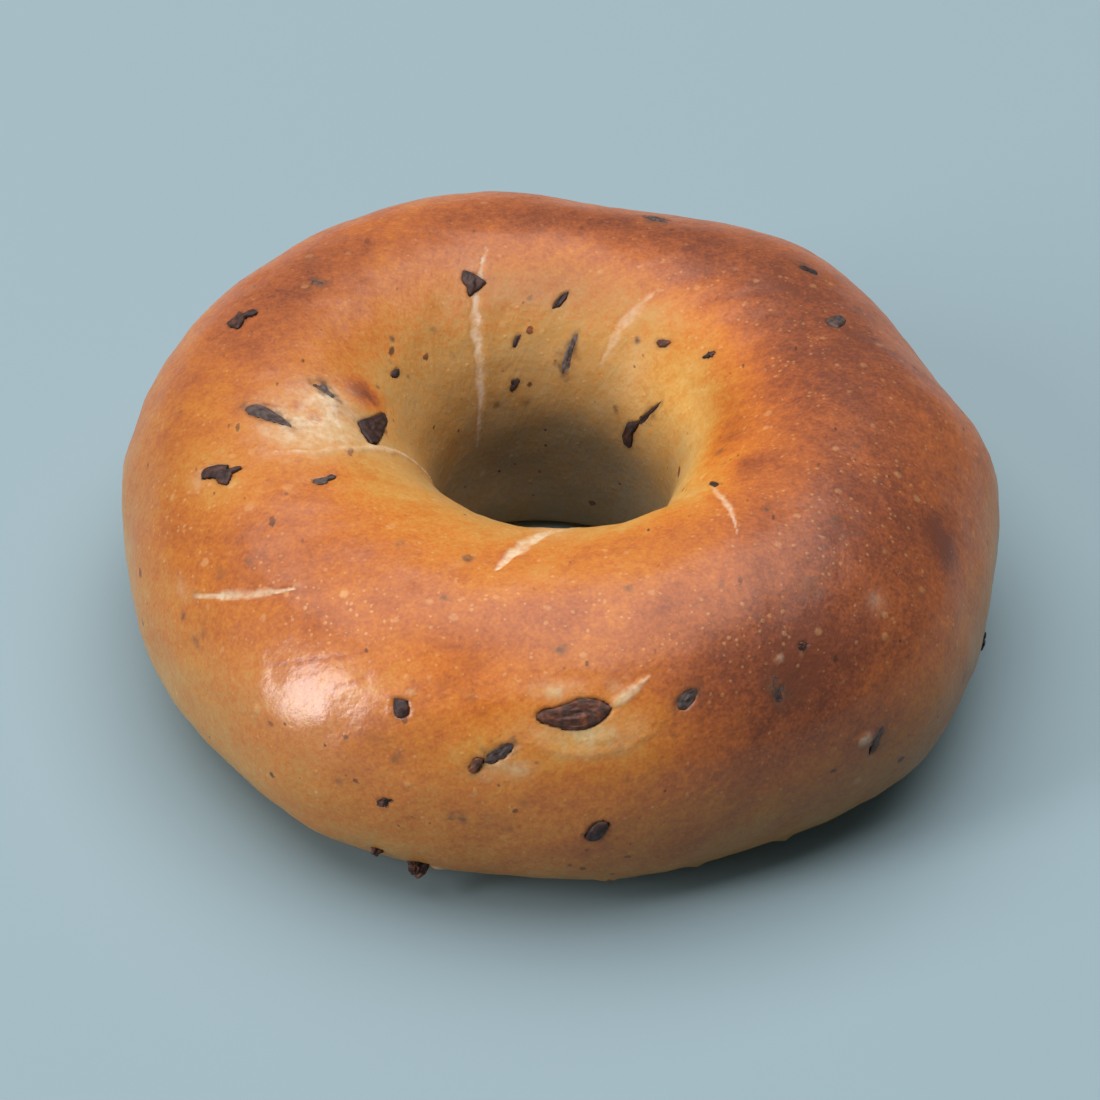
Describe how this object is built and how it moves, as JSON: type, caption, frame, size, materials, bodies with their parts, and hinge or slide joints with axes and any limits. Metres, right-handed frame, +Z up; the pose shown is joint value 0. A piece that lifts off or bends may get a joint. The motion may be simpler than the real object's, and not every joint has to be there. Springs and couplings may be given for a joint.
{
  "type": "bagel",
  "caption": "Round baked bagel with a satin browned crust, a round hole through the middle and bits of dried fruit set in the crust.",
  "frame": {"origin": "under the middle of the bagel's outline, on the surface that it lies on", "axes": "+Z up through the hole, -Y towards the front, +X to the right"},
  "size_m": [0.1071, 0.1105, 0.0366],
  "materials": {
    "crust": "satin, egg-shell gloss on the baked top, matt on the underside",
    "dried_fruit": "dark, wrinkled, slightly sticky gloss"
  },
  "bodies": {
    "root": {"dough_ring": "crust", "fruit_back_crown": "dried_fruit", "fruit_back_low": "dried_fruit", "fruit_back_side": "dried_fruit", "fruit_back_side_small": "dried_fruit", "fruit_back_small": "dried_fruit", "fruit_back_triangle": "dried_fruit", "fruit_front_foot": "dried_fruit", "fruit_front_foot_sliver": "dried_fruit", "fruit_front_low": "dried_fruit", "fruit_front_low_sliver": "dried_fruit", "fruit_front_slit": "dried_fruit", "fruit_front_split_left": "dried_fruit", "fruit_front_split_right": "dried_fruit", "fruit_front_square": "dried_fruit", "fruit_front_veiled": "dried_fruit", "fruit_hole_back_lower": "dried_fruit", "fruit_hole_back_upper": "dried_fruit", "fruit_hole_back_veiled": "dried_fruit", "fruit_hole_flake": "dried_fruit", "fruit_hole_flake_tail": "dried_fruit", "fruit_hole_front": "dried_fruit", "fruit_hole_left_small": "dried_fruit", "fruit_left_blister_long": "dried_fruit", "fruit_left_blister_top": "dried_fruit", "fruit_left_flake": "dried_fruit", "fruit_left_rim_triangle": "dried_fruit", "fruit_left_side": "dried_fruit", "fruit_left_thin": "dried_fruit", "fruit_left_upper": "dried_fruit", "fruit_left_upper_small": "dried_fruit", "fruit_right_back_edge": "dried_fruit", "fruit_right_edge": "dried_fruit", "fruit_right_inner_brown": "dried_fruit", "fruit_right_inner_thin": "dried_fruit", "fruit_right_low": "dried_fruit", "fruit_right_rim": "dried_fruit", "fruit_right_shoulder": "dried_fruit", "fruit_right_speck": "dried_fruit", "fruit_right_veiled": "dried_fruit", "fruit_under_back": "dried_fruit", "fruit_under_front": "dried_fruit", "fruit_under_left": "dried_fruit"}
  },
  "joints": []
}
